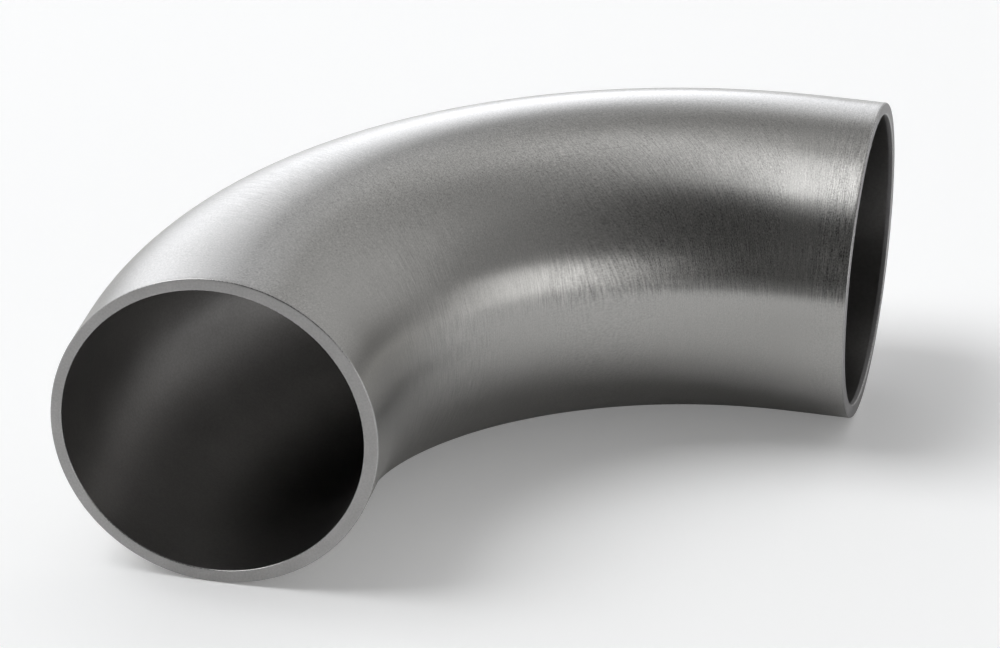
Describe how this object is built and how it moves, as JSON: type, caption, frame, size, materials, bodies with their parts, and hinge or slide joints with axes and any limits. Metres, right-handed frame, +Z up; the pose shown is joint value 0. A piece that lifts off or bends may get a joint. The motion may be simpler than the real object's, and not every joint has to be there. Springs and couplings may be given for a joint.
{
  "type": "sanitary weld bend",
  "caption": "Quarter-turn bend of thin round stainless tube with short straight plain ends, for butt welding into a sanitary line.",
  "frame": {"origin": "centre of the tube at the inlet's cut face", "axes": "the inlet opens towards -Y and the outlet towards +X; both lie in the level plane of the bend, and +Z is up"},
  "size_m": [0.0836, 0.0837, 0.038],
  "materials": {
    "stainless": "brushed around the tube outside, dull pickled inside, satin sawn ends"
  },
  "bodies": {
    "root": {"weld_bend": "stainless"}
  },
  "joints": []
}
